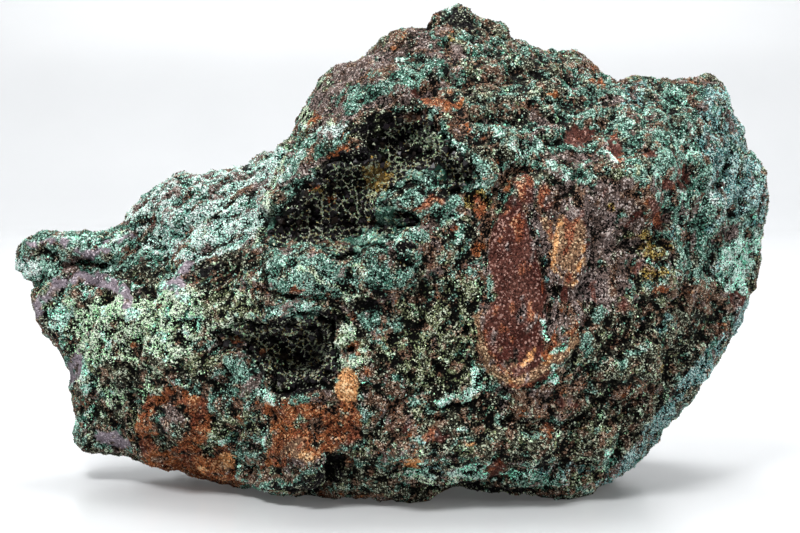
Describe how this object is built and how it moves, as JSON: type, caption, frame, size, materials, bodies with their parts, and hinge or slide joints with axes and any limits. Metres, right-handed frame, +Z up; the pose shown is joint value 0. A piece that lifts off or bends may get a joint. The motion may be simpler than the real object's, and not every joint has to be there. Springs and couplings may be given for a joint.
{
  "type": "malachite and cuprite specimen",
  "caption": "Rough lump of green malachite ore with a smooth red-brown cuprite plate and open hollows lined with small dark crystals; stands on its lower edge.",
  "frame": {"origin": "on the ground under the middle of the lump's bounding box", "axes": "+Z up, +X to the right along the longest side as seen from the front, the front with its hollows and its red-brown plate faces -Y"},
  "size_m": [0.1992, 0.116, 0.1254],
  "materials": {
    "ore": "rough broken ore with a sparkling green crystal grain, brown and red-brown in patches",
    "dark_crystal": "small black crystals with bright flat faces"
  },
  "bodies": {
    "root": {"stone": "ore", "upper_hollow_crust": "dark_crystal", "lower_hollow_crust": "dark_crystal"}
  },
  "joints": []
}
